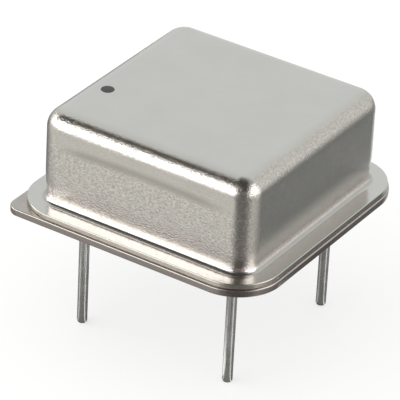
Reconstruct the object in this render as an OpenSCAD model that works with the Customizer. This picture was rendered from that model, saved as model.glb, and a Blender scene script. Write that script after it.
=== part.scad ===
// Half-size crystal clock oscillator in a welded metal can.
// The origin is the middle of the lead square, in the plane that the glass standoffs seat on.
// +Z points up through the can, and the sharp index corner lies towards -X and -Y.

/* [Leads] */
// Distance between the two lead columns, along X
lead_pitch_x = 7.62; // [6.8:0.01:8.2]
// Distance between the two lead rows, along Y
lead_pitch_y = 7.62; // [6.8:0.01:8.2]
// Finished diameter of a lead
lead_d = 0.46; // [0.38:0.01:0.54]
// Length of a lead below the seating plane
lead_len = 5.4; // [3:0.1:12]
// Radius of the rounding at a lead's tip
lead_tip_r = 0.13; // [0.05:0.01:0.17]
// Thickness of the plating that stops where the glass begins
plating_t = 0.008; // [0.004:0.001:0.02]
// Height of a lead's inner end above the ceramic board
lead_end_h = 0.35; // [0.25:0.01:0.6]

/* [Base plate] */
// Side of the square base plate
base_w = 12.6; // [12.4:0.05:14]
// Thickness of the base plate
base_t = 0.35; // [0.28:0.01:0.8]
// Radius of the three rounded corners
base_corner_r = 2.2; // [1.8:0.05:2.5]
// Radius of the sharp index corner
index_corner_r = 0.6; // [0.2:0.05:1]
// Rounding of the stamped edges
base_edge_r = 0.1; // [0.04:0.01:0.13]

/* [Cover] */
// Thickness of the cover's sheet
sheet_t = 0.25; // [0.15:0.01:0.35]
// Height of the cover, flange included
cover_h = 4.63; // [4.5:0.01:7]
// Width across the walls, just below the rounded top edge
can_w = 10.7; // [10.6:0.02:10.9]
// Slope of the walls, in degrees
wall_draft = 0.25; // [0:0.25:1.5]
// Outside radius of the rounded top edge
top_edge_r = 0.9; // [0.5:0.05:0.95]
// Plan radius of the vertical corners, at the top of the walls
can_corner_r = 1; // [0.95:0.05:1.3]
// Radius of the gentle bend that draws the walls in above the flange
neck_r = 7; // [5:0.5:10]
// Angle of that bend below upright, in degrees
neck_lean = 9; // [3:0.5:10]
// Fillet between the neck and the flange
root_r = 0.3; // [0.15:0.01:0.45]
// Side of the square flange
flange_w = 12.44; // [12.3:0.02:12.5]
// Radius of the flange's corners
flange_corner_r = 2.1; // [1.8:0.05:2.5]
// Rounding of the flange's sheared edge
flange_edge_r = 0.07; // [0.02:0.01:0.07]

/* [Index dot] */
// Diameter of the ink dot
dot_d = 0.6; // [0.3:0.05:1]
// Thickness of the ink
dot_t = 0.02; // [0.01:0.005:0.04]
// Distance of the dot from the can's middle, towards -X
dot_left = 4.02; // [3:0.02:4.1]
// Distance of the dot from the can's middle, towards -Y
dot_front = 2.12; // [0:0.02:4]

/* [Glass seals] */
// Diameter of the sealing holes in the base plate
seal_hole_d = 1.7; // [1.2:0.05:2]
// Diameter of the glass standoffs
standoff_d = 2; // [1.4:0.05:2.4]
// Height of the standoffs
standoff_h = 0.5; // [0.3:0.01:0.8]
// Rounding of the standoffs' lower edge
standoff_edge_r = 0.12; // [0.05:0.01:0.2]
// Diameter of the recess around a lead in a standoff's end
recess_d = 0.7; // [0.62:0.02:0.9]
// Depth of that recess
recess_depth = 0.1; // [0.05:0.01:0.2]
// Diameter of the beads inside, which carry the board
bead_d = 1.4; // [1:0.05:1.6]
// Height of those beads
bead_h = 0.35; // [0.2:0.01:0.6]

/* [Ground lead] */
// Gap between the ground lead and its hole, filled with braze
braze_gap = 0.08; // [0.04:0.01:0.12]
// Width of the braze fillet around the lead
braze_fillet = 0.3; // [0.15:0.01:0.4]
// Height of the braze fillet under the base plate
braze_foot_h = 0.25; // [0.1:0.01:0.3]

/* [Ceramic board] */
// Clearance between the square alumina board and the cover's wall
board_gap = 0.33; // [0.2:0.01:0.5]
// Thickness of the board
board_t = 0.5; // [0.3:0.01:0.7]
// Clearance between a lead and its hole in the board
lead_clearance = 0.07; // [0.03:0.01:0.12]
// Thickness of the printed conductors
track_t = 0.02; // [0.01:0.005:0.04]
// Width of the printed tracks
track_w = 0.25; // [0.15:0.01:0.3]
// Diameter of the round pads at the leads
lead_pad_d = 1.4; // [1.1:0.05:1.5]
// Height of the solder cones at the leads
solder_h = 0.28; // [0.15:0.01:0.3]
// Width of the pad that a solder cone leaves bare
solder_margin = 0.2; // [0.1:0.01:0.25]

/* [Oscillator chip] */
// Length of the chip, along X
chip_l = 1.5; // [1:0.05:1.6]
// Width of the chip, along Y
chip_w = 1.2; // [0.9:0.05:1.3]
// Thickness of the chip
chip_t = 0.3; // [0.15:0.01:0.4]
// Thickness of the adhesive under the chip
adhesive_t = 0.03; // [0.015:0.005:0.06]
// Diameter of the bond wires
wire_d = 0.05; // [0.03:0.005:0.06]
// Diameter of the bonds at the wires' ends
bond_d = 0.09; // [0.07:0.005:0.12]
// Height of the bonds
bond_h = 0.03; // [0.02:0.005:0.05]

/* [Bypass capacitor] */
// Length of the capacitor over its end caps, along Y
cap_l = 1.6; // [1.2:0.05:1.8]
// Width and height of the capacitor over its end caps
cap_w = 0.8; // [0.5:0.05:0.9]
// Length of each end cap
cap_end_l = 0.35; // [0.2:0.01:0.4]
// Thickness of the end caps' metal
cap_metal_t = 0.03; // [0.015:0.005:0.05]
// Length of pad beyond the capacitor's ends, for the solder fillets
cap_toe = 0.25; // [0.15:0.01:0.3]

/* [Quartz blank] */
// Diameter of the quartz disc
blank_d = 6; // [5:0.1:6.2]
// Thickness of the quartz disc
blank_t = 0.15; // [0.08:0.01:0.3]
// Diameter of the electrodes
electrode_d = 3.6; // [2.5:0.1:4]
// Thickness of the electrode film
electrode_t = 0.01; // [0.005:0.005:0.02]
// Width of the electrodes' tabs
electrode_tab_w = 1; // [0.9:0.05:1.1]

/* [Blank clips] */
// Thickness of the clips' strip
strip_t = 0.12; // [0.08:0.01:0.16]
// Width of the clips' strip
strip_w = 1.2; // [0.9:0.05:1.4]
// Height of the ledges above the board
ledge_h = 1.7; // [1.3:0.05:2.2]
// Length of a ledge, from the outside of the upright
ledge_l = 1; // [0.9:0.05:1.2]
// Length of a foot, from the inside of the upright
foot_l = 0.7; // [0.5:0.02:0.76]
// Inside radius of the two bends
bend_r = 0.1; // [0.06:0.01:0.15]
// Distance between the blank's rim and the upright
rim_gap = 0.45; // [0.4:0.01:0.48]
// Radius of the conductive epoxy drops
epoxy_r = 0.38; // [0.3:0.01:0.42]

/* [Hidden] */
$fn = 64;

// Overshoot of cutting tools beyond the faces they cut
over = 1;

// Side of the board, which fills the can but for its clearance
board_w = can_w - 2 * (sheet_t + board_gap);

// Heights of the stacked pieces
base_z = standoff_h;
flange_z = base_z + base_t;
board_z = flange_z + bead_h;
board_top = board_z + board_t;
track_top = board_top + track_t;
lead_top = board_top + lead_end_h;
can_top = flange_z + cover_h;

// Places of the leads, by pin number
lead_x = lead_pitch_x / 2;
lead_y = lead_pitch_y / 2;
pin_1 = [-lead_x, -lead_y];
pin_4 = [lead_x, -lead_y];
pin_5 = [lead_x, lead_y];
pin_8 = [-lead_x, lead_y];
pins = [pin_1, pin_4, pin_5, pin_8];
lead_r = lead_d / 2;
wire_r = lead_r - plating_t;
braze_hole_r = wire_r + braze_gap;
board_hole_r = wire_r + lead_clearance;

// Section of the can's wall, measured out from the centre of a plan corner and up from the flange's
// underside: the centres of its arcs at the top edge, the neck and the root, each arc running
// smoothly into the next, with the wall's straight stretch between the first two
corner_centre = can_w / 2 - can_corner_r;
wall_normal = [cos(wall_draft), sin(wall_draft)];
neck_normal = [cos(neck_lean), -sin(neck_lean)];
top_arc = [can_corner_r - top_edge_r * cos(wall_draft), cover_h - top_edge_r];
root_z = sheet_t + root_r;
neck_z = root_z + (neck_r + root_r) * sin(neck_lean);
neck_arc = [
    (top_arc * wall_normal + top_edge_r - neck_r - neck_z * sin(wall_draft)) / cos(wall_draft),
    neck_z
];
root_arc = neck_arc + (neck_r + root_r) * neck_normal;

// Board layout, in plan: the blank lies over the rear part, the chip and the capacitor in front
blank_y = 0.9;
chip_at = [0.9, -2.1];
cap_at = [-2.2, -2.1];
chip_pad_margin = 0.15;
adhesive_margin = 0.05;
chip_top = track_top + adhesive_t + chip_t;
cap_pad_l = cap_end_l + cap_toe;
cap_pad_y = cap_l / 2 + cap_toe - cap_pad_l / 2;

// Rows that tracks run along: by the board's edge, in front of the chip and behind it
ground_row_gap = 0.6;
crystal_row_gap = 0.9;
edge_column = board_w / 2 - track_w;
ground_row = chip_at[1] - chip_w / 2 - ground_row_gap;
crystal_row = chip_at[1] + chip_w / 2 + crystal_row_gap;

// Bond pads on the chip and fingers on the board: ground, enable and supply to the left,
// then output and the two sides of the crystal to the right
finger_l = 0.45;
finger_w = 0.3;
finger_gap = 0.65;
finger_pitch = 0.5;
bond_inset = 0.15;
bond_pitch = 0.4;
loop_to_chord = 0.62;
bonds = [
    for (side = [-1, 1])
    for (row = [-1, 0, 1])
    [
        chip_at + [side * (chip_l / 2 - bond_inset), row * bond_pitch],
        chip_at + [side * (chip_l / 2 + finger_gap), row * finger_pitch]
    ]
];
ground_finger = bonds[0][1];
enable_finger = bonds[1][1];
supply_finger = bonds[2][1];
output_finger = bonds[3][1];
right_clip_finger = bonds[4][1];
left_clip_finger = bonds[5][1];

// Quartz blank and the clips that hold it
upright_x = blank_d / 2 + rim_gap;
clip_toe = 0.15;
clip_pad_l = foot_l + 2 * clip_toe;
clip_pad_w = strip_w + 2 * clip_toe;
clip_pad_x = upright_x + foot_l / 2;
ledge_z = track_top + ledge_h;
blank_z = ledge_z + electrode_t;
blank_top = blank_z + blank_t;

// ---- shared shapes ----

// Copies its children to the plan position of one pin
module at_pin(pin) translate([pin[0], pin[1], 0]) children();

// Plate with rounded corners, radii in the order of the plan's quadrants, and with rounded edges
module edged_plate(w, t, radii, edge_r) {
    half = w / 2;
    depth = max(radii);
    corners = [[1, 1], [-1, 1], [-1, -1], [1, -1]];
    translate([-half + depth, -half + depth, 0]) cube([w - 2 * depth, w - 2 * depth, t]);
    for (k = [0:3]) {
        r = radii[k];
        next_r = radii[(k + 1) % 4];
        translate([corners[k][0] * (half - r), corners[k][1] * (half - r), 0])
            rotate(90 * k)
            rotate_extrude(angle = 90)
            edge_section(r, t, edge_r);
        rotate(90 * k)
            translate([-half + next_r, half - depth, 0])
            rotate([90, 0, 90])
            linear_extrude(w - r - next_r)
            edge_section(depth, t, edge_r);
    }
}

// Section of such a plate's rim: a strip of the given depth with its two outer corners rounded
module edge_section(depth, t, edge_r) {
    square([depth - edge_r, t]);
    translate([0, edge_r]) square([depth, t - 2 * edge_r]);
    intersection() {
        union() {
            translate([depth - edge_r, edge_r]) circle(edge_r);
            translate([depth - edge_r, t - edge_r]) circle(edge_r);
        }
        square([depth, t]);
    }
}

// ---- the can ----

module base_plate() {
    color("#8f8983") difference() {
        translate([0, 0, base_z]) edged_plate(
            base_w, base_t,
            [base_corner_r, base_corner_r, index_corner_r, base_corner_r],
            base_edge_r
        );
        for (pin = [pin_1, pin_5, pin_8])
            at_pin(pin) translate([0, 0, base_z - over]) cylinder(d = seal_hole_d, h = base_t + 2 * over);
        at_pin(pin_4) translate([0, 0, base_z - over]) cylinder(r = braze_hole_r, h = base_t + 2 * over);
    }
}

// Section of the space under one skin of the can; depth is how far the skin lies inside the outer one
module skin_section(depth) {
    top_r = top_edge_r - depth;
    neck_skin_r = neck_r - depth;
    foot_r = root_r + depth;
    top_tangent = top_arc + top_r * wall_normal;
    neck_start = neck_arc + neck_skin_r * wall_normal;
    neck_end = neck_arc + neck_skin_r * neck_normal;
    floor_z = root_arc[1] - foot_r;
    difference() {
        union() {
            polygon([
                [0, neck_start[1]], neck_start, top_tangent,
                top_arc, top_arc + [0, top_r], [0, top_arc[1] + top_r]
            ]);
            intersection() {
                translate(top_arc) circle(top_r);
                translate(top_arc) square(2 * top_r);
            }
            intersection() {
                translate(neck_arc) circle(neck_skin_r);
                translate([0, neck_end[1]]) square([neck_r, neck_start[1] - neck_end[1]]);
            }
            polygon([[0, floor_z], [root_arc[0], floor_z], neck_end, [0, neck_end[1]]]);
        }
        translate(root_arc) circle(foot_r);
    }
}

// Solid under one skin of the can: four turned corners, four drawn sides and the middle
module skin(depth) {
    floor_z = root_arc[1] - root_r - depth;
    top_z = cover_h - depth;
    for (k = [0:3]) rotate(90 * k) translate([corner_centre, corner_centre, 0]) {
        rotate_extrude(angle = 90) skin_section(depth);
        rotate([90, 0, 0]) linear_extrude(2 * corner_centre) skin_section(depth);
    }
    translate([-corner_centre, -corner_centre, floor_z])
        cube([2 * corner_centre, 2 * corner_centre, top_z - floor_z]);
}

module cover() {
    color("#c3c3be") translate([0, 0, flange_z]) difference() {
        union() {
            skin(0);
            edged_plate(flange_w, sheet_t, [for (k = [0:3]) flange_corner_r], flange_edge_r);
        }
        skin(sheet_t);
    }
}

module index_dot() {
    color("#4b4b4d") translate([-dot_left, -dot_front, can_top]) cylinder(d = dot_d, h = dot_t);
}

// ---- leads and seals ----

// The plated stretch below the board to be soldered, its rounded tip, and the bare wire above it
module lead(pin, plated_top) {
    tip_z = -lead_len;
    color("#848482") at_pin(pin) {
        translate([0, 0, tip_z + lead_tip_r]) cylinder(r = lead_r, h = plated_top - tip_z - lead_tip_r);
        translate([0, 0, tip_z]) rotate_extrude() {
            square([lead_r - lead_tip_r, lead_tip_r]);
            intersection() {
                translate([lead_r - lead_tip_r, lead_tip_r]) circle(lead_tip_r);
                translate([lead_r - lead_tip_r, 0]) square(lead_tip_r);
            }
        }
        translate([0, 0, plated_top]) cylinder(r = wire_r, h = lead_top - plated_top);
    }
}

module lead_1() lead(pin_1, recess_depth);
module lead_5() lead(pin_5, recess_depth);
module lead_8() lead(pin_8, recess_depth);
module lead_4() lead(pin_4, base_z - braze_foot_h);

// Glass in the plate's hole, with a standoff below it and a bead above it
module glass_seal(pin) {
    standoff_r = standoff_d / 2;
    color("#3b4a44") at_pin(pin) difference() {
        union() {
            translate([0, 0, standoff_edge_r]) cylinder(r = standoff_r, h = standoff_h - standoff_edge_r);
            rotate_extrude() {
                square([standoff_r - standoff_edge_r, standoff_edge_r]);
                intersection() {
                    translate([standoff_r - standoff_edge_r, standoff_edge_r]) circle(standoff_edge_r);
                    translate([standoff_r - standoff_edge_r, 0]) square(standoff_edge_r);
                }
            }
            translate([0, 0, base_z]) cylinder(d = seal_hole_d, h = base_t);
            translate([0, 0, flange_z]) cylinder(d = bead_d, h = bead_h);
        }
        translate([0, 0, -over]) cylinder(r = wire_r, h = board_z + 2 * over);
        translate([0, 0, -over]) cylinder(d = recess_d, h = recess_depth + over);
    }
}

module glass_seal_1() glass_seal(pin_1);
module glass_seal_5() glass_seal(pin_5);
module glass_seal_8() glass_seal(pin_8);

// Braze through the base plate, with a fillet below it and a collar up to the board
module silver_braze_ring() {
    fillet_r = braze_hole_r + braze_fillet;
    color("#b9b5a8") at_pin(pin_4) difference() {
        union() {
            translate([0, 0, base_z - braze_foot_h]) cylinder(r1 = lead_r, r2 = fillet_r, h = braze_foot_h);
            translate([0, 0, base_z]) cylinder(r = braze_hole_r, h = base_t);
            translate([0, 0, flange_z]) cylinder(r1 = fillet_r, r2 = fillet_r - braze_gap, h = bead_h);
        }
        translate([0, 0, -over]) cylinder(r = wire_r, h = board_z + 2 * over);
    }
}

// ---- the board and what is on it ----

module substrate() {
    color("#efece4") difference() {
        translate([-board_w / 2, -board_w / 2, board_z]) cube([board_w, board_w, board_t]);
        for (pin = pins) at_pin(pin) translate([0, 0, board_z - over])
            cylinder(r = board_hole_r, h = board_t + 2 * over);
    }
}

// Straight piece of printed track between two points with one coordinate in common
module track(a, b) {
    low = [min(a[0], b[0]), min(a[1], b[1])] - [track_w / 2, track_w / 2];
    high = [max(a[0], b[0]), max(a[1], b[1])] + [track_w / 2, track_w / 2];
    translate(low) square(high - low);
}

// Tracks through a list of points, each straight ahead or square to the last
module route(points) {
    for (k = [1:len(points) - 1]) track(points[k - 1], points[k]);
}

module pad(at, l, w) translate(at) square([l, w], center = true);

module lead_pad(pin) translate(pin) circle(d = lead_pad_d);

module finger(at) pad(at, finger_l, finger_w);

module enable_net() {
    lead_pad(pin_1);
    route([pin_1, [pin_1[0], enable_finger[1]], enable_finger]);
    finger(enable_finger);
}

module ground_net() {
    lead_pad(pin_4);
    route([pin_4, [chip_at[0], pin_4[1]], chip_at]);
    route([[chip_at[0], ground_row], [cap_at[0], ground_row], cap_at - [0, cap_pad_y]]);
    route([[ground_finger[0], ground_row], ground_finger]);
    pad(chip_at, chip_l + 2 * chip_pad_margin, chip_w + 2 * chip_pad_margin);
    pad(cap_at - [0, cap_pad_y], cap_w, cap_pad_l);
    finger(ground_finger);
}

module supply_net() {
    supply_row = cap_at[1] + cap_pad_y;
    lead_pad(pin_8);
    route([pin_8, [-edge_column, pin_8[1]], [-edge_column, supply_row], [cap_at[0], supply_row]]);
    route([supply_finger, [cap_at[0], supply_finger[1]]]);
    pad(cap_at + [0, cap_pad_y], cap_w, cap_pad_l);
    finger(supply_finger);
}

module output_net() {
    lead_pad(pin_5);
    route([pin_5, [edge_column, pin_5[1]], [edge_column, output_finger[1]], output_finger]);
    finger(output_finger);
}

module right_clip_net() {
    pad([clip_pad_x, blank_y], clip_pad_l, clip_pad_w);
    route([[clip_pad_x, blank_y], [clip_pad_x, right_clip_finger[1]], right_clip_finger]);
    finger(right_clip_finger);
}

module left_clip_net() {
    pad([-clip_pad_x, blank_y], clip_pad_l, clip_pad_w);
    route([
        [-clip_pad_x, blank_y], [-clip_pad_x, crystal_row],
        [left_clip_finger[0], crystal_row], left_clip_finger
    ]);
    finger(left_clip_finger);
}

module conductor_tracks() {
    color("#c9a86a") translate([0, 0, board_top]) linear_extrude(track_t) difference() {
        union() {
            enable_net();
            ground_net();
            supply_net();
            output_net();
            right_clip_net();
            left_clip_net();
        }
        for (pin = pins) translate(pin) circle(board_hole_r);
    }
}

module lead_solder() {
    foot_d = lead_pad_d - 2 * solder_margin;
    neck_d = lead_d + solder_margin;
    color("#a9abab") for (pin = pins) at_pin(pin) difference() {
        translate([0, 0, track_top]) cylinder(d1 = foot_d, d2 = neck_d, h = solder_h);
        translate([0, 0, track_top - over]) cylinder(r = wire_r, h = solder_h + 2 * over);
    }
}

// Block centred in plan on a point
module block(at, z, size) translate([at[0] - size[0] / 2, at[1] - size[1] / 2, z]) cube(size);

module chip_adhesive() {
    color("#b8b8b0") block(
        chip_at, track_top,
        [chip_l + 2 * adhesive_margin, chip_w + 2 * adhesive_margin, adhesive_t]
    );
}

module oscillator_chip() {
    color("#5b6470") block(chip_at, track_top + adhesive_t, [chip_l, chip_w, chip_t]);
}

// One wire from a bond pad on the chip to a finger on the board: two bonds and the arc between them
module bond_wire(pad_at, finger_at) {
    span = norm(finger_at - pad_at);
    heading = atan2(finger_at[1] - pad_at[1], finger_at[0] - pad_at[0]);
    high = chip_top + bond_h;
    low = track_top + bond_h;
    chord = norm([span, high - low]);
    fall = atan2(high - low, span);
    loop_r = loop_to_chord * chord;
    half_angle = asin(chord / 2 / loop_r);
    centre_drop = sqrt(loop_r * loop_r - chord * chord / 4);
    centre = [span / 2 - centre_drop * sin(fall), (high + low) / 2 - centre_drop * cos(fall)];
    translate([pad_at[0], pad_at[1], chip_top]) cylinder(d = bond_d, h = bond_h);
    translate([finger_at[0], finger_at[1], track_top]) cylinder(d = bond_d, h = bond_h);
    translate([pad_at[0], pad_at[1], 0])
        rotate([0, 0, heading])
        translate([centre[0], 0, centre[1]])
        rotate([90, 0, 0])
        rotate([0, 0, 90 - fall - half_angle])
        rotate_extrude(angle = 2 * half_angle)
        translate([loop_r, 0])
        circle(d = wire_d);
}

module bond_wires() {
    color("#d8b04a") for (bond = bonds) bond_wire(bond[0], bond[1]);
}

module capacitor_body() {
    inner = cap_w - 2 * cap_metal_t;
    color("#a5794f") block(
        cap_at, track_top + cap_metal_t,
        [inner, cap_l - 2 * cap_metal_t, inner]
    );
}

module capacitor_caps() {
    color("#b4b5b4") for (side = [-1, 1]) difference() {
        block(cap_at + [0, side * (cap_l - cap_end_l) / 2], track_top, [cap_w, cap_end_l, cap_w]);
        capacitor_body();
    }
}

// Three-cornered fillet against the end of a piece that ends at the origin and faces +X
module solder_fillet(toe, h, w) {
    translate([0, w / 2, 0]) rotate([90, 0, 0]) linear_extrude(w) polygon([[0, 0], [toe, 0], [0, h]]);
}

module capacitor_solder() {
    color("#a9abab") for (side = [-1, 1])
        translate([cap_at[0], cap_at[1] + side * cap_l / 2, track_top])
        rotate(90 * side)
        solder_fillet(cap_toe - cap_metal_t, cap_w / 2, cap_w - 2 * cap_metal_t);
}

// ---- the crystal and its clips ----

module quartz_blank() {
    color("#dfe6e6") translate([0, blank_y, blank_z]) cylinder(d = blank_d, h = blank_t);
}

// Round film with a tab out to the blank's rim, towards the given side
module electrode(side, z) {
    color("#d5d5d2") translate([0, blank_y, z]) linear_extrude(electrode_t) {
        circle(d = electrode_d);
        intersection() {
            circle(d = blank_d);
            translate([side > 0 ? 0 : -blank_d, -electrode_tab_w / 2]) square([blank_d, electrode_tab_w]);
        }
    }
}

module upper_electrode() electrode(1, blank_top);
module lower_electrode() electrode(-1, ledge_z);

// Quarter of a bent strip, in one quadrant about the bend's centre
module strip_bend(centre, quadrant) {
    bend_outer_r = bend_r + strip_t;
    translate(centre) intersection() {
        difference() {
            circle(bend_outer_r);
            circle(bend_r);
        }
        translate([min(quadrant[0], 0), min(quadrant[1], 0)] * bend_outer_r) square(bend_outer_r);
    }
}

// Strip folded twice: a foot outwards on the board, an upright and a ledge inwards at top_z
module clip_section(top_z) {
    foot_bend = [upright_x + strip_t + bend_r, track_top + strip_t + bend_r];
    ledge_bend = [upright_x - bend_r, top_z - strip_t - bend_r];
    ledge_end = upright_x + strip_t - ledge_l;
    translate([foot_bend[0], track_top]) square([upright_x + foot_l - foot_bend[0], strip_t]);
    strip_bend(foot_bend, [-1, -1]);
    translate([upright_x, foot_bend[1]]) square([strip_t, ledge_bend[1] - foot_bend[1]]);
    strip_bend(ledge_bend, [1, 1]);
    translate([ledge_end, top_z - strip_t]) square([ledge_bend[0] - ledge_end, strip_t]);
}

module clip(top_z) {
    color("#b3a58c") translate([0, blank_y + strip_w / 2, 0])
        rotate([90, 0, 0])
        linear_extrude(strip_w)
        clip_section(top_z);
}

module clip_left() mirror([1, 0, 0]) clip(ledge_z);
module clip_right() clip(blank_z);

module clip_solder() {
    color("#a9abab") for (turn = [0, 180])
        translate([0, blank_y, track_top])
        rotate(turn)
        translate([upright_x + foot_l, 0, 0])
        solder_fillet(clip_toe, strip_t, strip_w);
}

// Drops on the blank's rim, wet to the ledge below and to the electrode's tab
module blank_epoxy() {
    color("#9a9a96") for (side = [-1, 1]) {
        rim_x = side * blank_d / 2;
        floor_z = side < 0 ? ledge_z : blank_z;
        difference() {
            translate([rim_x, blank_y, floor_z]) sphere(epoxy_r);
            translate([rim_x - over, blank_y - over, floor_z - over]) cube([2 * over, 2 * over, over]);
            quartz_blank();
            electrode(side, side < 0 ? ledge_z : blank_top);
        }
    }
}

base_plate();
cover();
index_dot();
lead_1();
lead_4();
lead_5();
lead_8();
glass_seal_1();
glass_seal_5();
glass_seal_8();
silver_braze_ring();
substrate();
conductor_tracks();
lead_solder();
chip_adhesive();
oscillator_chip();
bond_wires();
capacitor_body();
capacitor_caps();
capacitor_solder();
quartz_blank();
upper_electrode();
lower_electrode();
clip_left();
clip_right();
clip_solder();
blank_epoxy();
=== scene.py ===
import math

import bmesh
import bpy
from mathutils import Matrix, Vector


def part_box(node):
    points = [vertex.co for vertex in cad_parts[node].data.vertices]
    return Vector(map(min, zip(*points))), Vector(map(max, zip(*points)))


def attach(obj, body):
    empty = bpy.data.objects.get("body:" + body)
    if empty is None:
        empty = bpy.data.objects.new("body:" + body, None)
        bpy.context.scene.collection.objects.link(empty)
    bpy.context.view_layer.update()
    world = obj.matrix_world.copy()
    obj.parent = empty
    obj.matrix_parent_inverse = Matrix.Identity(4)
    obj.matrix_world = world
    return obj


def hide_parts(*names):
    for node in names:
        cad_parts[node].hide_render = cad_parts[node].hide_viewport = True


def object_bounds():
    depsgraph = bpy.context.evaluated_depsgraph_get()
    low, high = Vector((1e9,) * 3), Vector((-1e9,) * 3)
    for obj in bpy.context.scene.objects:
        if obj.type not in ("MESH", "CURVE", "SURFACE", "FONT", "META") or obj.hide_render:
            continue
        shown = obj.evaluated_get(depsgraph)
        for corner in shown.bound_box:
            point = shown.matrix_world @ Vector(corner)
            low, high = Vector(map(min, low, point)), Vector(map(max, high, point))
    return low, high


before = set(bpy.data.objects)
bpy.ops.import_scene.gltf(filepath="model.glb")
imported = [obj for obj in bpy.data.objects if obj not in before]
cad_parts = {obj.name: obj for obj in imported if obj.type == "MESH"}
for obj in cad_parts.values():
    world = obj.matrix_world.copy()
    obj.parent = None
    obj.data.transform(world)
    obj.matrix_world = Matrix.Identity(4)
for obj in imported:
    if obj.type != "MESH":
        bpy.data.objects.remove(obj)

# Looks of a half-size crystal clock oscillator: a drawn, nickel plated can welded to a stamped
# base plate, with four round leads. Lengths in the dictionaries are in millimetres.
mm = 0.001
scene = bpy.context.scene
cadLow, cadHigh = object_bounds()
up = Vector((0, 0, 1))
noiseSpan = {"From Min": 0.3, "From Max": 0.7}  # nearly all values of a noise texture lie in it


# Steps that several pieces share

def roundedLoop(bm, halfSide, radii, z, steps):
    # loop of edges around a square with rounded corners; radii follow the quadrants
    square = bmesh.ops.create_grid(bm, x_segments=1, y_segments=1, size=halfSide * mm,
                                   matrix=Matrix.Translation((0, 0, z * mm)))["verts"]
    for corner in square:
        quadrant = (0 if corner.co.x > 0 else 1) if corner.co.y > 0 else (3 if corner.co.x > 0 else 2)
        rounded = bmesh.ops.bevel(bm, geom=[corner], offset=radii[quadrant] * mm,
                                  offset_type="OFFSET", segments=steps, profile=0.5,
                                  affect="VERTICES", material=-1, clamp_overlap=False)["verts"]
    face = rounded[0].link_faces[0]
    edges = face.edges[:]
    bmesh.ops.delete(bm, geom=[face], context="FACES_ONLY")
    return edges


def roundLoop(bm, centre, radius, z, steps):
    # loop of edges around a circle
    place = Matrix.Translation((centre[0] * mm, centre[1] * mm, z * mm))
    rim = bmesh.ops.create_circle(bm, radius=radius * mm, segments=steps, matrix=place)["verts"]
    return list({edge for vert in rim for edge in vert.link_edges})


def bridgeAll(bm, loops):
    for lower, upper in zip(loops[:-1], loops[1:]):
        bmesh.ops.bridge_loops(bm, edges=lower + upper)


def capLoops(bm, *loops):
    # flat face inside the first loop, around the others
    edges = [edge for loop in loops for edge in loop]
    bmesh.ops.triangle_fill(bm, edges=edges, use_beauty=True, use_dissolve=False)


def turned(bm, profile, centre, steps):
    # solid of revolution about the vertical through centre, from (radius, height) points
    verts = [bm.verts.new((r * mm, 0, z * mm)) for r, z in profile]
    edges = [bm.edges.new(pair) for pair in zip(verts[:-1], verts[1:])]
    made = bmesh.ops.spin(bm, geom=verts + edges, axis=up, cent=(0, 0, 0), angle=math.tau,
                          steps=steps, use_merge=True, use_duplicate=False)
    whole = {v for item in made["geom_last"] for v in getattr(item, "verts", [item])}
    reached = list(whole)
    while reached:  # everything that the spin joined up
        for edge in reached.pop().link_edges:
            for vert in edge.verts:
                if vert not in whole:
                    whole.add(vert)
                    reached.append(vert)
    bmesh.ops.remove_doubles(bm, verts=list(whole), dist=0.0005 * mm)
    whole = [v for v in whole if v.is_valid]
    bmesh.ops.translate(bm, verts=whole, vec=Vector((centre[0], centre[1], 0)) * mm)


def arc(centre, radius, start, end, steps):
    # points along an arc in a section; angles in degrees from the outward direction, upwards
    angles = [math.radians(start + (end - start) * k / steps) for k in range(steps + 1)]
    return [(centre[0] + radius * math.cos(a), centre[1] + radius * math.sin(a)) for a in angles]


def meshObject(bm, name, material):
    mesh = bpy.data.meshes.new(name)
    bm.to_mesh(mesh)
    bm.free()
    mesh.materials.append(material)
    made = bpy.data.objects.new(name, mesh)
    scene.collection.objects.link(made)
    return made


def finishPiece(bm, name, material, replaced, sharpAngle=40):
    # the angle between faces above which their edge shows is in degrees
    bmesh.ops.recalc_face_normals(bm, faces=bm.faces[:])
    piece = meshObject(bm, name, material)
    piece.data.shade_smooth()
    piece.data.set_sharp_from_angle(angle=math.radians(sharpAngle))
    weighted = piece.modifiers.new("flat faces stay flat", "WEIGHTED_NORMAL")
    weighted.keep_sharp = True
    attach(piece, "root")
    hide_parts(replaced)


def linearColor(hexCode):
    def channel(text):
        value = int(text, 16) / 255
        return value / 12.92 if value <= 0.04045 else ((value + 0.055) / 1.055) ** 2.4
    return (channel(hexCode[1:3]), channel(hexCode[3:5]), channel(hexCode[5:7]), 1)


def addNode(tree, kind, settings=None, links=None):
    # a node with its settings, by property or socket name, and with links into its sockets;
    # tones are a colour ramp's two sRGB ends, and a linked node gives its first output in use
    node = tree.nodes.new("ShaderNode" + kind)
    for name, value in (settings or {}).items():
        if name == "tones":
            for element, position, tone in zip(node.color_ramp.elements, noiseSpan.values(), value):
                element.position = position
                element.color = linearColor(tone)
        elif isinstance(name, int) or name in node.inputs:
            node.inputs[name].default_value = value
        else:
            setattr(node, name, value)
    for name, source in (links or {}).items():
        if isinstance(source, bpy.types.Node):
            source = next(output for output in source.outputs if output.enabled)
        tree.links.new(source, node.inputs[name])
    return node


def newMaterial(name):
    material = bpy.data.materials.new(name)
    material.use_nodes = True
    tree = material.node_tree
    tree.nodes.clear()
    place = addNode(tree, "TexCoord").outputs["Object"]
    return material, tree, place


def finishMaterial(tree, settings, links):
    shader = addNode(tree, "BsdfPrincipled", settings, links)
    addNode(tree, "OutputMaterial", None, {"Surface": shader})


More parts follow.
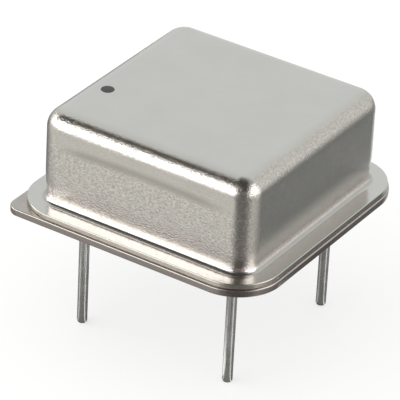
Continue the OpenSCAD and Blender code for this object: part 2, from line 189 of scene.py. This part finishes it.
def plainFinish(name, tones, roughness, grain=0.2, relief=0.002, squeeze=(1, 1, 1), detail=3,
                metallic=1.0, **settings):
    # small parts: a slightly uneven tone over a faint relief; a metal's gloss is uneven too
    material, tree, place = newMaterial(name)
    squeezed = addNode(tree, "Mapping", {"Scale": squeeze}, {"Vector": place})
    lumps = addNode(tree, "TexNoise", {"Scale": 1 / (grain * mm), "Detail": detail},
                    {"Vector": squeezed})
    links = {"Base Color": addNode(tree, "ValToRGB", {"tones": tones}, {"Fac": lumps}),
             "Normal": addNode(tree, "Bump", {"Distance": relief * mm}, {"Height": lumps})}
    if metallic:
        gloss = {**noiseSpan, "To Min": roughness - 0.04, "To Max": roughness + 0.05}
        links["Roughness"] = addNode(tree, "MapRange", gloss, {"Value": lumps})
    finishMaterial(tree, {"Metallic": metallic, "Roughness": roughness, **settings}, links)
    return material


# Cover: a can drawn from sheet, with a flange at its foot

cover = {
    "sheet": 0.25,           # thickness
    "wallHalf": 5.35,        # from the middle to the wall, under the rounded top edge
    "draft": 0.25,           # slope of the walls, in degrees
    "neckRadius": 7.0,       # gentle bend that draws the walls in above the flange
    "neckLean": 9.0,         # degrees
    "topRadius": 0.9,
    "cornerRadius": 1.0,     # in plan
    "rootRadius": 0.3,
    "flangeCorner": 2.1,
    "edgeRadius": 0.035,
    "edgeSteps": 5,
    "arcSteps": 24,
    "cornerSteps": 24,
    "noises": {              # width of the lumps, detail, roughness, and squeeze along each axis
        "peel": (0.1, 2.5, 0.6, (0.75, 0.75, 1.5)),
        "grit": (0.05, 1.5, 0.5, (1, 1, 1)),
        "lumps": (1.6, 3, 0.5, (1, 1, 1)),
        "polish": (0.5, 4, 0.5, (1, 1, 1)),
    },
    "relief": {"peel": 0.011, "grit": 0.01},
    "roughness": (0.17, 0.21),
    "tones": {               # each mixed from two by a noise
        "smooth": ("lumps", "#bdbeb9", "#c0c1bc"),
        "even": ("lumps", "#b5b2ab", "#bbb8b1"),
        "pebbled": ("peel", "#9f9c95", "#cecbc4"),
        "line": ("lumps", "#9f9c95", "#a4a19a"),
        # painted highlight: a lighter, pinkish tone at the foot of the walls
        "foot": ("peel", "#c4bbb7", "#ddd4d0"),
        # painted shade: a dark tone in the crease where the walls meet the flange
        "crease": ("peel", "#5e5650", "#6c645d"),
        "rim": ("peel", "#a0998e", "#b8b1a6"),
    },
    "lineDepth": 1.36,       # from the top down to the line that the punch left across the front
    "lineDrop": 0.008,       # how far it sinks at one millimetre from its middle, growing squarely
    "fades": {               # what each is measured from, its start and end, and shares before and after
        "belowTop": ("top", -0.14, -0.004, 1, 0),
        "aboveFlange": ("flange", 0.02, 0.2, 0, 1),
        # where the painted highlight at the foot of the walls lies
        "foot": ("flange", 0.3, 1.4, 1, 0),
        "rim": ("flange", -0.06, -0.02, 1, 0),
        # where the painted shade in the crease lies
        "creaseStart": ("flange", 0, 0.04, 0, 0.3),
        "creaseEnd": ("flange", 0.07, 0.15, 1, 0),
        "inFront": ("front", 0.05, 0.25, 1, 0),
        "speckle": ("front", 0.25, 0.65, 1, 0.5),
        "nearLine": ("offLine", 0.05, 0.28, 1, 0),
        "midFront": ("squareX", 3.0 ** 2, 4.3 ** 2, 1, 0),
        "aboveLine": ("overLine", -0.2, 0.1, 0, 0.7),
        "underArc": ("top", -0.75, -0.5, 1, 0),
    },
}
coverLow, coverHigh = (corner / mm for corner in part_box("cover"))


def nickelPlatedCan():
    # drawn steel sheet under satin nickel: even and silky on the flat faces, pebbled and a little
    # warmer where the walls were stretched, dull at the cut rim; a painted highlight makes the foot of
    # the walls lighter and pinkish, and painted shade darkens the crease just above the flange
    material, tree, place = newMaterial("satin nickel, deep drawn")
    axes = addNode(tree, "SeparateXYZ", None, {"Vector": place}).outputs
    squareX = addNode(tree, "Math", {"operation": "MULTIPLY"}, {0: axes["X"], 1: axes["X"]})
    bowed = addNode(tree, "Math", {"operation": "MULTIPLY_ADD", 1: cover["lineDrop"] / mm},
                    {0: squareX, 2: axes["Z"]})
    lineHeight = coverHigh.z - cover["lineDepth"]
    overLine = addNode(tree, "Math", {"operation": "SUBTRACT", 1: lineHeight * mm}, {0: bowed})
    measures = {             # value, its zero and its unit
        "top": (axes["Z"], coverHigh.z, mm),
        "flange": (axes["Z"], coverLow.z + cover["sheet"], mm),
        "front": (axes["Y"], -cover["wallHalf"], mm),
        "overLine": (overLine, 0, mm),
        "offLine": (addNode(tree, "Math", {"operation": "ABSOLUTE"}, {0: overLine}), 0, mm),
        "squareX": (squareX, 0, mm ** 2),
    }
    share = {}
    for name, (measure, start, end, before, after) in cover["fades"].items():
        value, zero, unit = measures[measure]
        share[name] = addNode(tree, "MapRange", {
            "From Min": (zero + start) * unit, "From Max": (zero + end) * unit,
            "To Min": before, "To Max": after}, {"Value": value})
    for name, factors in {   # products of those shares
        "wall": ("belowTop", "aboveFlange"),
        "line": ("nearLine", "midFront", "inFront"),
        "smoother": ("aboveLine", "underArc", "inFront"),
        "crease": ("creaseStart", "creaseEnd"),
    }.items():
        share[name] = share[factors[0]]
        for factor in factors[1:]:
            share[name] = addNode(tree, "Math", {"operation": "MULTIPLY"},
                                  {0: share[name], 1: share[factor]})
    rougher = addNode(tree, "Math", {"operation": "SUBTRACT", 0: 1.0}, {1: share["smoother"]})
    grained = addNode(tree, "Math", {"operation": "MULTIPLY"}, {0: share["wall"], 1: rougher})
    share["pebbled"] = addNode(tree, "Math", {"operation": "MULTIPLY"},
                               {0: grained, 1: share["speckle"]})

    pattern = {}
    for name, (width, detail, rough, squeeze) in cover["noises"].items():
        squeezed = addNode(tree, "Mapping", {"Scale": squeeze}, {"Vector": place})
        pattern[name] = addNode(tree, "TexNoise", {"Scale": 1 / (width * mm), "Detail": detail,
                                                   "Roughness": rough}, {"Vector": squeezed})
    under = {}
    for name, depth in cover["relief"].items():
        height = addNode(tree, "Math", {"operation": "MULTIPLY"}, {0: pattern[name], 1: grained})
        relief = addNode(tree, "Bump", {"Distance": depth * mm}, {"Height": height, **under})
        under = {"Normal": relief}
    low, high = cover["roughness"]
    gloss = addNode(tree, "MapRange", {**noiseSpan, "To Min": low, "To Max": high},
                    {"Value": pattern["polish"]})

    tone = {name: addNode(tree, "ValToRGB", {"tones": ends}, {"Fac": pattern[mixer]})
            for name, (mixer, *ends) in cover["tones"].items()}
    for made, lower, upper in (  # each tone made lays an upper one over a lower one
            # the foot tone laid here is a painted highlight
            ("wall", "even", "pebbled"), ("wall", "wall", "line"), ("wall", "wall", "foot"),
            # the crease tone laid here is painted shade
            ("skin", "smooth", "wall"), ("skin", "skin", "crease"), ("skin", "skin", "rim")):
        tone[made] = addNode(tree, "Mix", {"data_type": "RGBA"},
                             {"Factor": share[upper], 6: tone[lower], 7: tone[upper]})
    finishMaterial(tree, {"Metallic": 1.0},
                   {"Base Color": tone["skin"], "Normal": relief, "Roughness": gloss})
    return material


def buildCover():
    top, sheet = coverHigh.z - coverLow.z, cover["sheet"]
    draft, lean = math.radians(cover["draft"]), math.radians(cover["neckLean"])
    topRadius, neckRadius, rootRadius = cover["topRadius"], cover["neckRadius"], cover["rootRadius"]
    cornerCentre = cover["wallHalf"] - cover["cornerRadius"]
    topArc = (cover["cornerRadius"] - topRadius * math.cos(draft), top - topRadius)
    neckHeight = sheet + rootRadius + (neckRadius + rootRadius) * math.sin(lean)
    wallReach = topArc[0] * math.cos(draft) + topArc[1] * math.sin(draft) + topRadius
    neckArc = ((wallReach - neckRadius - neckHeight * math.sin(draft)) / math.cos(draft), neckHeight)
    rootArc = (neckArc[0] + (neckRadius + rootRadius) * math.cos(lean), sheet + rootRadius)
    steps = cover["arcSteps"]

    def skinSection(depth):
        # section points from the top face to the flange, out from a corner's centre
        return (arc(topArc, topRadius - depth, 90, cover["draft"], steps)
                + arc(neckArc, neckRadius - depth, cover["draft"], -cover["neckLean"], steps // 4)
                + arc(rootArc, rootRadius + depth, 180 - cover["neckLean"], 270, steps // 2)[1:])

    def skinLoops(depth):
        return [roundedLoop(bm, cornerCentre + u, [u] * 4, coverLow.z + z, cover["cornerSteps"])
                for u, z in skinSection(depth)]

    def rimLoop(inset, z):
        return roundedLoop(bm, coverHigh.x - inset, [cover["flangeCorner"] - inset] * 4, coverLow.z + z,
                           cover["cornerSteps"])

    bm = bmesh.new()
    outer = skinLoops(0)
    inner = skinLoops(sheet)
    edge = cover["edgeRadius"]
    edgeArc = arc((0, 0), edge, 90, 0, cover["edgeSteps"])
    rim = [rimLoop(edge - x, sheet - edge + z) for x, z in edgeArc]
    rim += [rimLoop(edge - x, edge - z) for x, z in reversed(edgeArc)]
    for loops in (outer, rim, inner):
        bridgeAll(bm, loops)
    for loops in ([outer[0]], [outer[-1], rim[0]], [rim[-1], inner[-1]], [inner[0]]):
        capLoops(bm, *loops)
    finishPiece(bm, "can_cover", nickelPlatedCan(), "cover")


print("cover")
buildCover()

# Base plate: stamped from thicker sheet, with one sharp index corner

basePlate = {
    "cornerRadii": [2.2, 2.2, 0.6, 2.2],   # the third is the index corner
    "edgeRadius": 0.07,
    "sealHole": 0.85,        # radii of the holes
    "brazeHole": 0.302,
    "cornerSteps": 20,
    "edgeSteps": 6,
    "holeSteps": 48,
    "noises": {              # width of the lumps, detail, and squeeze along each axis
        "drag": (0.05, 3, (1, 1, 0.15)),
        "cloud": (0.8, 4, (1, 1, 1)),
        "polish": (0.3, 3, (1, 1, 1)),
    },
    "platedTones": ("#a8a39e", "#b3aea9"),
    "shearedTones": ("#7b7571", "#8a8480"),
    "shearedFade": (0.02, 0.06),   # from both faces, where the plated tone gives way to the sheared one
    "dragDepth": 0.003,
    "roughness": (0.2, 0.28),
}
baseLow, baseHigh = (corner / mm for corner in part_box("base_plate"))
leadPlaces = {}
for pin in (1, 4, 5, 8):
    low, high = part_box(f"lead_{pin}")
    leadPlaces[pin] = ((low + high) / 2 / mm).to_2d()


def platedSteel():
    # stamped steel under nickel, a little darker than the can; its sheared sides are duller still
    # and lined where the punch dragged over them
    material, tree, place = newMaterial("nickel on stamped steel")
    height = addNode(tree, "SeparateXYZ", None, {"Vector": place}).outputs["Z"]
    near, far = basePlate["shearedFade"]
    overFoot, underTop = (
        addNode(tree, "MapRange", {"From Min": (face + near * inwards) * mm,
                                   "From Max": (face + far * inwards) * mm}, {"Value": height})
        for face, inwards in ((baseLow.z, 1), (baseHigh.z, -1)))
    sheared = addNode(tree, "Math", {"operation": "MULTIPLY"}, {0: overFoot, 1: underTop})
    pattern = {}
    for name, (width, detail, squeeze) in basePlate["noises"].items():
        squeezed = addNode(tree, "Mapping", {"Scale": squeeze}, {"Vector": place})
        pattern[name] = addNode(tree, "TexNoise", {"Scale": 1 / (width * mm), "Detail": detail},
                                {"Vector": squeezed})
    plated = addNode(tree, "ValToRGB", {"tones": basePlate["platedTones"]}, {"Fac": pattern["cloud"]})
    dragged = addNode(tree, "ValToRGB", {"tones": basePlate["shearedTones"]}, {"Fac": pattern["drag"]})
    tone = addNode(tree, "Mix", {"data_type": "RGBA"}, {"Factor": sheared, 6: plated, 7: dragged})
    relief = addNode(tree, "Bump", {"Distance": basePlate["dragDepth"] * mm},
                     {"Height": pattern["drag"]})
    low, high = basePlate["roughness"]
    gloss = addNode(tree, "MapRange", {**noiseSpan, "To Min": low, "To Max": high},
                    {"Value": pattern["polish"]})
    finishMaterial(tree, {"Metallic": 1.0}, {"Base Color": tone, "Normal": relief, "Roughness": gloss})
    return material


def buildBasePlate():
    bm = bmesh.new()
    edge = basePlate["edgeRadius"]

    def rimLoop(inset, z):
        return roundedLoop(bm, baseHigh.x - inset, [r - inset for r in basePlate["cornerRadii"]], z,
                           basePlate["cornerSteps"])

    edgeArc = arc((0, 0), edge, 90, 0, basePlate["edgeSteps"])
    rim = [rimLoop(edge - x, baseHigh.z - edge + z) for x, z in edgeArc]
    rim += [rimLoop(edge - x, baseLow.z + edge - z) for x, z in reversed(edgeArc)]
    bridgeAll(bm, rim)
    holes = [(place, basePlate["brazeHole"] if pin == 4 else basePlate["sealHole"])
             for pin, place in leadPlaces.items()]
    upper = [roundLoop(bm, place, r, baseHigh.z, basePlate["holeSteps"]) for place, r in holes]
    lower = [roundLoop(bm, place, r, baseLow.z, basePlate["holeSteps"]) for place, r in holes]
    for top, bottom in zip(upper, lower):
        bridgeAll(bm, [top, bottom])
    capLoops(bm, rim[0], *upper)
    capLoops(bm, rim[-1], *lower)
    finishPiece(bm, "stamped_base", platedSteel(), "base_plate")


print("base plate")
buildBasePlate()

# Leads, and the glass beads that carry three of them through the base plate

lead = {
    "radius": 0.23,
    "plating": 0.008,
    "tipRadius": 0.13,
    "tipSteps": 8,
    "steps": 40,
    "noises": {              # width of the lumps, detail, and squeeze along the wire
        "lines": (0.03, 3, 0.02),
        "mottle": (0.25, 3, 0.4),
    },
    "tones": ("#abacaa", "#bcbdbb"),
    "lineDepth": 0.0015,
    "roughness": (0.2, 0.32),
}
seal = {
    "standoffRadius": 1.0,
    "beadRadius": 0.7,
    "edgeRadius": 0.12,
    "edgeSteps": 6,
    "recessRadius": 0.35,
    "recessDepth": 0.1,
    "steps": 56,
    "tones": ("#2c3934", "#38473f"),
    "roughness": 0.12,
    "grain": 0.08,
    "relief": 0.001,
}
wireRadius = lead["radius"] - lead["plating"]


def tinnedWire():
    # tin over drawn iron-nickel wire, with fine drawing lines along it
    material, tree, place = newMaterial("tinned drawn wire")
    pattern = {}
    for name, (width, detail, squeeze) in lead["noises"].items():
        squeezed = addNode(tree, "Mapping", {"Scale": (1, 1, squeeze)}, {"Vector": place})
        pattern[name] = addNode(tree, "TexNoise", {"Scale": 1 / (width * mm), "Detail": detail},
                                {"Vector": squeezed})
    tone = addNode(tree, "ValToRGB", {"tones": lead["tones"]}, {"Fac": pattern["mottle"]})
    relief = addNode(tree, "Bump", {"Distance": lead["lineDepth"] * mm}, {"Height": pattern["lines"]})
    low, high = lead["roughness"]
    gloss = addNode(tree, "MapRange", {**noiseSpan, "To Min": low, "To Max": high},
                    {"Value": pattern["mottle"]})
    finishMaterial(tree, {"Metallic": 1.0}, {"Base Color": tone, "Normal": relief, "Roughness": gloss})
    return material


def buildLead(pin, platedTop):
    low, high = (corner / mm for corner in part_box(f"lead_{pin}"))
    radius, tip = lead["radius"], lead["tipRadius"]
    profile = [(0, low.z)] + arc((radius - tip, low.z + tip), tip, 270, 360, lead["tipSteps"])
    profile += [(radius, platedTop), (wireRadius, platedTop), (wireRadius, high.z), (0, high.z)]
    bm = bmesh.new()
    turned(bm, profile, leadPlaces[pin], lead["steps"])
    finishPiece(bm, f"tinned_lead_{pin}", leadTin, f"lead_{pin}")


def buildSeal(pin):
    low, high = (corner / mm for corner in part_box(f"glass_seal_{pin}"))
    standoff, bead, recess = seal["standoffRadius"], seal["beadRadius"], seal["recessRadius"]
    hole, edge = basePlate["sealHole"], seal["edgeRadius"]
    floor = low.z + seal["recessDepth"]
    profile = [(wireRadius, floor), (recess, floor), (recess, low.z)]
    profile += arc((standoff - edge, low.z + edge), edge, 270, 360, seal["edgeSteps"])
    profile += [(standoff, baseLow.z), (hole, baseLow.z), (hole, baseHigh.z), (bead, baseHigh.z)]
    profile += [(bead, high.z), (wireRadius, high.z), profile[0]]
    bm = bmesh.new()
    turned(bm, profile, leadPlaces[pin], seal["steps"])
    finishPiece(bm, f"glass_standoff_{pin}", sealGlass, f"glass_seal_{pin}")


print("leads and seals")
leadTin = tinnedWire()
# glass that flowed around the leads: greenish black and glossy
sealGlass = plainFinish("dark sealing glass", seal["tones"], seal["roughness"], seal["grain"],
                        seal["relief"], metallic=0.0)
for pin in (1, 5, 8):
    buildLead(pin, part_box(f"glass_seal_{pin}")[0].z / mm + seal["recessDepth"])
    buildSeal(pin)
buildLead(4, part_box("silver_braze_ring")[0].z / mm)

# Index dot: a drop of ink that dried flat, thinner towards its rim

dot = {
    "profile": [(0, 0), (0.85, 0.1), (0.95, 0.35), (1, 1), (0, 1)],   # shares of radius and thickness
    "steps": 40,
    "sharpAngle": 60,
    "tones": ("#323234", "#3c3c3e"),
    "roughness": 0.55,
    "grain": 0.03,
    "relief": 0.001,
}


def buildDot():
    low, high = (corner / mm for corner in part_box("index_dot"))
    radius, thickness = (high.x - low.x) / 2, high.z - low.z
    bm = bmesh.new()
    turned(bm, [(radius * out, high.z - thickness * down) for out, down in dot["profile"]],
           ((low + high) / 2).to_2d(), dot["steps"])
    # pad printed ink: nearly black and almost matt
    ink = plainFinish("printed epoxy ink", dot["tones"], dot["roughness"], dot["grain"], dot["relief"],
                      detail=2, metallic=0.0)
    finishPiece(bm, "index_mark", ink, "index_dot", dot["sharpAngle"])


print("index dot")
buildDot()

# The braze and everything inside the can keep their own meshes. Each finish has its two tones and
# its roughness, and may have the width of its grain, its relief and its squeeze along each axis

# frozen from the melt: smooth and bright
solder = plainFinish("bright solder", ("#a6a8a8", "#b6b8b7"), 0.18)
# evaporated on the blank, so nearly a mirror
electrodeFilm = plainFinish("silver electrode film", ("#d2d2cf", "#dcdcd9"), 0.1, 0.2, 0.0003)
# rolled: satin, yellowish, with fine lines along the strip
clipStrip = plainFinish("nickel silver strip", ("#b0a48d", "#bdb29c"), 0.28, 0.06, 0.001, (1, 0.1, 1))
kept = {
    # pale and warm, fairly smooth where it flowed
    "silver_braze_ring": plainFinish("flowed silver braze", ("#b0ab9d", "#bdb8ab"), 0.22),
    # white ceramic, nearly matt
    "substrate": plainFinish("fired alumina", ("#e9e6de", "#f3f0e9"), 0.5, 0.06, 0.001, metallic=0.0),
    # printed as a paste: a soft sheen over fine lumps
    "conductor_tracks": plainFinish("fired thick film gold", ("#c09c58", "#d2ae70"), 0.38, 0.08),
    "lead_solder": solder,
    # silver flakes in resin: a dull light grey
    "chip_adhesive": plainFinish("silver filled die attach", ("#b0b0a8", "#c0c0b8"), 0.5, 0.05,
                                 metallic=0.0),
    # under a glassy film: blue grey and glossy
    "oscillator_chip": plainFinish("passivated silicon", ("#4f5a6c", "#667083"), 0.15, 0.12, 0.0005,
                                   metallic=0.0),
    # drawn fine: a bright yellow
    "bond_wires": plainFinish("gold bond wire", ("#d3a93f", "#e0bb58"), 0.15, 0.05, 0.0005),
    # fired body: brown, with a weak gloss
    "capacitor_body": plainFinish("brown capacitor ceramic", ("#9b6f46", "#ad8057"), 0.45, 0.05,
                                  metallic=0.0),
    # tin on fired silver: satin
    "capacitor_caps": plainFinish("tinned end cap", ("#b0b1b0", "#c0c1c0"), 0.3, 0.06),
    "capacitor_solder": solder,
    # finely ground: clear and colourless, a little soft
    "quartz_blank": plainFinish("lapped quartz", ("#f2f6f6", "#fbfdfd"), 0.12, 0.3, 0.0003, metallic=0.0,
                                **{"Transmission Weight": 1.0, "IOR": 1.54}),
    "upper_electrode": electrodeFilm,
    "lower_electrode": electrodeFilm,
    "clip_left": clipStrip,
    "clip_right": clipStrip,
    "clip_solder": solder,
    # set in drops: grey with a soft gloss
    "blank_epoxy": plainFinish("silver filled epoxy", ("#92928e", "#a2a29e"), 0.4, 0.05, metallic=0.0),
}
for nodeName, material in kept.items():
    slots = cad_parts[nodeName].data.materials
    slots.clear()
    slots.append(material)
print("inner pieces")

# Camera, a long lens at a distance

view = {
    "azimuth": 31.97,        # degrees, 0 looks along +Y
    "elevation": 31.164,
    "roll": 3.0,
    "distance": 150.0,
    "aim": (-0.353, -0.08, 0.5),   # how far it stands to the right and up, and the height it looks at
    "lens": 311.52,          # focal length
    "clip": (5, 20000),      # nearest and farthest distance in sight
}


def buildCamera():
    azimuth, elevation, roll = (math.radians(view[k]) for k in ("azimuth", "elevation", "roll"))
    back = Vector((math.sin(azimuth) * math.cos(elevation), -math.cos(azimuth) * math.cos(elevation),
                   math.sin(elevation)))
    right = Vector((math.cos(azimuth), math.sin(azimuth), 0))
    above = back.cross(right)
    place = back * view["distance"] + right * view["aim"][0] + above * view["aim"][1]
    place.z += view["aim"][2]
    rolledRight = right * math.cos(roll) + above * math.sin(roll)
    turn = Matrix((rolledRight, back.cross(rolledRight), back)).transposed()
    data = bpy.data.cameras.new("camera")
    data.lens = view["lens"]
    data.clip_start, data.clip_end = (reach * mm for reach in view["clip"])
    camera = bpy.data.objects.new("camera", data)
    scene.collection.objects.link(camera)
    camera.matrix_world = Matrix.Translation(place * mm) @ turn.to_4x4()
    scene.camera = camera


print("camera")
buildCamera()

# Studio: a white paper floor in a white tent, a softbox, and cards that only polished metal shows

studio = {
    "floorHalf": 1500,
    "floorTone": "#989897",
    "floorGlow": 0.66,       # share of the floor's brightness that shadows leave alone
    "sideGlow": 0.3,         # the same at the sides of the floor
    "floorAcross": (0.848, 0.53, 0),   # direction towards the sides
    "floorFade": (11, 24),   # distances from the middle between which the floor turns grey
    "skyStrength": 1.0,
    "softbox": {
        "azimuth": -135,     # bearing from +X, in degrees
        "elevation": 19.8,
        "distance": 400,
        "size": (670, 252),
        "radiance": 2.9,
    },
    "papers": {              # one tone or two, glow, and start and end of the shading
        "light grey card": (["#ffffff", "#d4d3d1"], 0.15, (0, -15, 0), (0, -18, 0)),
        # its darker tone, under the part, is painted shadow of the part, which only the metal shows
        "grey card of painted shadow": (["#a5a2a0", "#f8f6f4"], 0, (0, -12.2, 0), (0, -12.8, 0)),
        "grey card, darker to the right": (["#c0bebc", "#7f7c7c"], 0, (3, -18, 0), (9, -18, 0)),
        "grey card, paler to the right": (["#7f7c7c", "#b4b2b0"], 0, (16, -15, 0), (20, -8, 0)),
        "pale card, darker to the back": (["#dcdad8", "#868889"], 0, (22, -3, 0), (15, 7, 0)),
        "grey card, paler to the back": (["#868889", "#c4c5c6"], 0, (20, 20, 0), (75, 90, 0)),
        "pale card, darker to the middle": (["#dcdbd9", "#858486"], 0, (0, -12.5, 0), (0, -0.5, 0)),
        "white card": (["#ffffff"], 1.1),
        "pale card": (["#ffffff"], 0.1),
        "dark card": (["#857f7b"], 0),
        "dark card, paler to the back": (["#857f7b", "#e8e8e8"], 0, (0, 0, 0), (0, 34, 0)),
        "lit panel": (["#ffffff"], 1.9),
    },
    "floorCards": {          # paper, height over the floor, corners in plan
        "card in front": (
            "light grey card", 0.02,
            [(-300, -14.9), (2, -14.9), (-3, -60), (-3, -600), (-300, -600)]),
        # painted shadow: grey under the part, paling in front of it; only the metal shows it
        "card under the part": (
            "grey card of painted shadow", 0.03,
            [(-14, -15.2), (3, -15.2), (4.2, -6.3), (9.5, -6), (9.5, 9), (-14, 9)]),
        "card at the front corner": (
            "grey card, darker to the right", 0.04, [(4.2, -6.3), (3.2, -60), (3.2, -600), (300, -470)]),
        "card by the front corner": (
            "grey card, paler to the right", 0.04, [(4.2, -6.3), (300, -470), (300, -70), (12, -6.9)]),
        "card beside the corner": (
            "pale card, darker to the back", 0.035,
            [(9.5, -6), (300, -70), (600, 60), (600, 592), (9.5, 2)]),
        "card at the right": (
            "grey card, paler to the back", 0.05,
            [(9.5, 2), (600, 592), (600, 900), (-60, 900), (9.5, 12)]),
        "card at the left": (
            "pale card, darker to the middle", 0.06,
            [(-14.5, -14.9), (-14.5, 20), (-60, 60), (-60, -14.9)]),
    },
    "leadCards": {           # for the light lines along the leads in sight: paper, reach, bearings
        "streak card": ("white card", 7.2, (-14, 0)),
        "pale card": ("pale card", 6, (-148, -122)),
    },
    "leadCardLift": 0.07,
    "litLeads": (1, 4, 5),
    "ceilingHeight": 100,
    "ceilingCards": {        # paper, corners in plan
        "card above": ("dark card", [(-150, -82), (150, -82), (150, -9), (-150, -9)]),
        "card above, behind": (
            "dark card, paler to the back", [(-32, -9), (60, -9), (60, 38), (-32, 38)]),
    },
    "sideCards": {           # paper, distance, bearings, heights
        "dark side of the studio": ("dark card", 320, (-84, -33), (-5, 540)),
        "lit panel at the right": ("lit panel", 400, (-20, 32), (15, 390)),
    },
}
mattPaper = {"Roughness": 1.0, "Specular IOR Level": 0.0, "Emission Color": (1, 1, 1, 1)}


def directionTo(azimuth, elevation=0):
    # unit vector towards a point of the studio, by its bearing from +X and its height in degrees
    a, e = math.radians(azimuth), math.radians(elevation)
    return Vector((math.cos(a) * math.cos(e), math.sin(a) * math.cos(e), math.sin(e)))


def cardPaper(name, tones, glow, start=(0, 0, 0), end=(0, 0, 0)):
    # matt paper in one tone, or shaded evenly from a start point to an end point
    material, tree, place = newMaterial(name)
    links = {}
    if len(tones) == 2:
        reach = Vector(end) - Vector(start)
        offset = reach.dot(Vector(start)) / reach.length_squared
        slope = reach / reach.length_squared / mm
        along = addNode(tree, "VectorMath", {"operation": "DOT_PRODUCT", 1: slope}, {0: place})
        share = addNode(tree, "MapRange", {"From Min": offset, "From Max": offset + 1}, {"Value": along})
        links["Base Color"] = addNode(tree, "Mix", {"data_type": "RGBA", 6: linearColor(tones[0]),
                                                    7: linearColor(tones[1])}, {"Factor": share})
    settings = {**mattPaper, "Base Color": linearColor(tones[0]), "Emission Strength": glow}
    finishMaterial(tree, settings, links)
    return material


def floorPaper():
    # white paper sweep: shadows fall on it, and part of its brightness is only seen, not cast;
    # it turns pale grey towards both sides, so that a bright face stands out in front of it
    material, tree, place = newMaterial("white paper sweep")
    across = addNode(tree, "VectorMath", {"operation": "DOT_PRODUCT", 1: studio["floorAcross"]},
                     {0: place})
    sideways = addNode(tree, "Math", {"operation": "ABSOLUTE"}, {0: across})
    near, far = (distance * mm for distance in studio["floorFade"])
    glow = addNode(tree, "MapRange", {"From Min": near, "From Max": far, "To Min": studio["floorGlow"],
                                      "To Max": studio["sideGlow"]}, {"Value": sideways})
    rays = addNode(tree, "LightPath").outputs
    seen = rays["Is Camera Ray"]
    for ray in ("Is Glossy Ray", "Is Transmission Ray"):
        seen = addNode(tree, "Math", {"operation": "MAXIMUM"}, {0: seen, 1: rays[ray]})
    strength = addNode(tree, "Math", {"operation": "MULTIPLY"}, {0: glow, 1: seen})
    finishMaterial(tree, {**mattPaper, "Base Color": linearColor(studio["floorTone"])},
                   {"Emission Strength": strength})
    return material


def card(name, material, corners, seen=False):
    # flat card between its corners; unless seen, only polished metal shows it
    bm = bmesh.new()
    bm.faces.new([bm.verts.new(Vector(corner) * mm) for corner in corners])
    piece = meshObject(bm, name, material)
    piece.visible_camera = piece.visible_diffuse = piece.visible_shadow = seen


def buildCards():
    papers = {name: cardPaper(name, *made) for name, made in studio["papers"].items()}
    floorZ, half = cadLow.z / mm, studio["floorHalf"]
    card("floor", floorPaper(), [(-half, -half, floorZ), (half, -half, floorZ), (half, half, floorZ),
                                 (-half, half, floorZ)], seen=True)
    for name, (paper, lift, corners) in studio["floorCards"].items():
        card(name, papers[paper], [(x, y, floorZ + lift) for x, y in corners])
    for pin in studio["litLeads"]:
        for name, (paper, reach, azimuths) in studio["leadCards"].items():
            foot = leadPlaces[pin].to_3d() + up * (floorZ + studio["leadCardLift"])
            card(f"{name} by lead {pin}", papers[paper],
                 [foot, *(foot + directionTo(azimuth) * reach for azimuth in azimuths)])
    for name, (paper, corners) in studio["ceilingCards"].items():
        card(name, papers[paper], [(x, y, studio["ceilingHeight"]) for x, y in corners])
    for name, (paper, distance, azimuths, heights) in studio["sideCards"].items():
        left, right = (directionTo(azimuth) * distance for azimuth in azimuths)
        low, high = (up * height for height in heights)
        card(name, papers[paper], [left + low, right + low, right + high, left + high])


def buildLights():
    box = studio["softbox"]
    data = bpy.data.lights.new("softbox", "AREA")
    data.shape = "RECTANGLE"
    data.size, data.size_y = (side * mm for side in box["size"])
    data.energy = box["radiance"] * math.pi * data.size * data.size_y
    softbox = bpy.data.objects.new("softbox", data)
    scene.collection.objects.link(softbox)
    towards = directionTo(box["azimuth"], box["elevation"])
    softbox.matrix_world = (Matrix.Translation(towards * box["distance"] * mm)
                            @ towards.to_track_quat("Z", "Y").to_matrix().to_4x4())

    world = bpy.data.worlds.new("white tent")
    world.use_nodes = True
    tree = world.node_tree
    tree.nodes.clear()
    tent = addNode(tree, "Background", {"Color": (1, 1, 1, 1), "Strength": studio["skyStrength"]})
    addNode(tree, "OutputWorld", None, {"Surface": tent})
    scene.world = world
    scene.view_settings.view_transform = "Standard"


print("studio")
buildCards()
buildLights()
